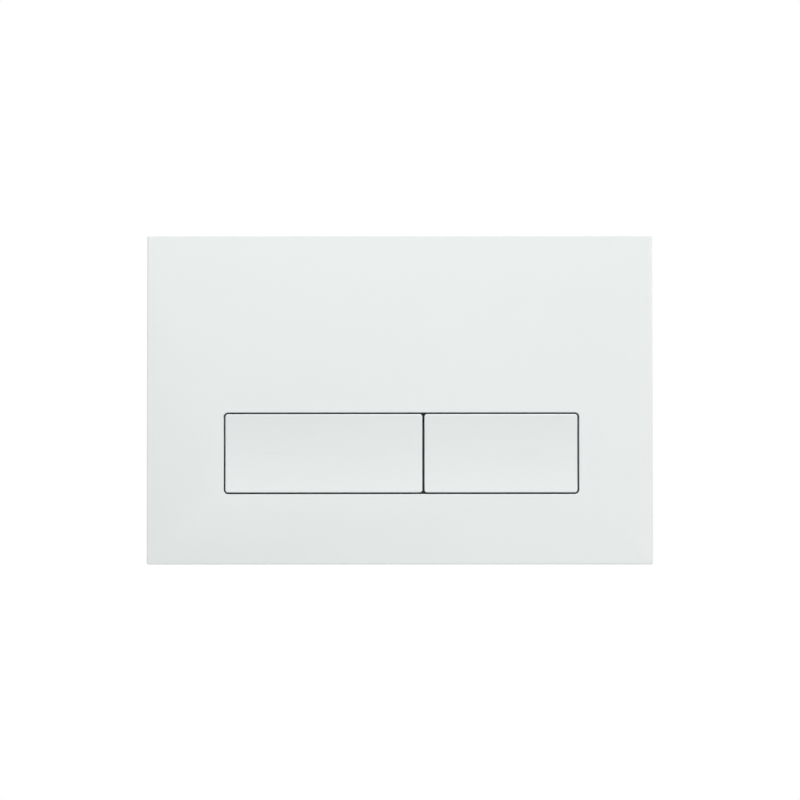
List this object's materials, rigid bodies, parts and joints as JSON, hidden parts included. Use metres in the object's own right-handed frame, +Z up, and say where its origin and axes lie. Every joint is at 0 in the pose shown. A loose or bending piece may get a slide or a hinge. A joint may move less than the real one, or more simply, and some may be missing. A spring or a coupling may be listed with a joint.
{
  "type": "flush plate",
  "caption": "Flat rectangular flush plate for a concealed cistern, with a wide and a narrow push button side by side that work two push rods through levers.",
  "frame": {"origin": "middle of the two fixing studs, in the plane of the finished wall that the frame bears on", "axes": "+X along the plate, to the right for someone who faces it; +Y into the wall, away from the room; +Z up"},
  "size_m": [0.245, 0.089, 0.16],
  "materials": {
    "cover": "gloss white moulded plastic",
    "button": "gloss white moulded plastic",
    "frame": "light grey moulded plastic with a fine grain",
    "lever": "mid grey moulded plastic",
    "pin": "drawn stainless steel",
    "spring": "spring steel wire",
    "washer": "stamped stainless steel",
    "fixing": "natural white nylon",
    "rod": "white moulded plastic with a thread",
    "tip": "black soft plastic",
    "buffer": "black rubber"
  },
  "bodies": {
    "housing": {"cover_plate": "cover", "base_frame": "frame", "full_button_pin": "pin", "half_button_pin": "pin", "full_rocker_pin": "pin", "half_rocker_pin": "pin", "full_outer_spring": "spring", "full_inner_spring": "spring", "half_inner_spring": "spring", "half_outer_spring": "spring", "full_rocker_spring": "spring", "half_rocker_spring": "spring", "left_fixing_stud": "fixing", "left_fixing_washer": "washer", "left_fixing_nut": "fixing", "right_fixing_stud": "fixing", "right_fixing_washer": "washer", "right_fixing_nut": "fixing", "full_outer_buffer": "buffer", "full_inner_buffer": "buffer", "half_inner_buffer": "buffer", "half_outer_buffer": "buffer"},
    "full_button": {"full_button_cap": "button", "full_button_carrier": "lever"},
    "half_button": {"half_button_cap": "button", "half_button_carrier": "lever"},
    "full_rocker": {"full_rocker": "lever"},
    "half_rocker": {"half_rocker": "lever"},
    "full_rod": {"full_rod_head": "lever", "full_push_rod": "rod", "full_rod_nut": "rod", "full_rod_tip": "tip"},
    "half_rod": {"half_rod_head": "lever", "half_push_rod": "rod", "half_rod_nut": "rod", "half_rod_tip": "tip"}
  },
  "joints": [
    {"name": "full_button_press", "type": "hinge", "parent": "housing", "child": "full_button", "pos_m": [0, -0.011, -0.0025], "axis": [1, 0, 0], "range_deg": [0, 6], "stiffness_Nm_per_rad": 1.8, "springref_deg": -3.44, "deforming": ["full_outer_spring", "full_inner_spring"]},
    {"name": "full_rocker_turn", "type": "hinge", "parent": "housing", "child": "full_rocker", "pos_m": [0, -0.005, -0.056], "axis": [-1, 0, 0], "range_deg": [0, 6.4], "deforming": ["full_rocker_spring"]},
    {"name": "full_rod_slide", "type": "slide", "parent": "housing", "child": "full_rod", "axis": [0, 1, 0], "range_m": [0, 0.0076]},
    {"name": "half_button_press", "type": "hinge", "parent": "housing", "child": "half_button", "pos_m": [0, -0.011, -0.0025], "axis": [1, 0, 0], "range_deg": [0, 6], "stiffness_Nm_per_rad": 1.8, "springref_deg": -3.44, "deforming": ["half_outer_spring", "half_inner_spring"]},
    {"name": "half_rocker_turn", "type": "hinge", "parent": "housing", "child": "half_rocker", "pos_m": [0, -0.005, -0.056], "axis": [-1, 0, 0], "range_deg": [0, 6.4], "deforming": ["half_rocker_spring"]},
    {"name": "half_rod_slide", "type": "slide", "parent": "housing", "child": "half_rod", "axis": [0, 1, 0], "range_m": [0, 0.0076]}
  ],
  "couplings": [
    {"joint": "full_rocker_turn", "follows": "full_button_press", "ratio": 1.0577},
    {"joint": "full_rod_slide", "follows": "full_button_press", "m_per_rad": 0.07192},
    {"joint": "half_rocker_turn", "follows": "half_button_press", "ratio": 1.0577},
    {"joint": "half_rod_slide", "follows": "half_button_press", "m_per_rad": 0.07192}
  ]
}
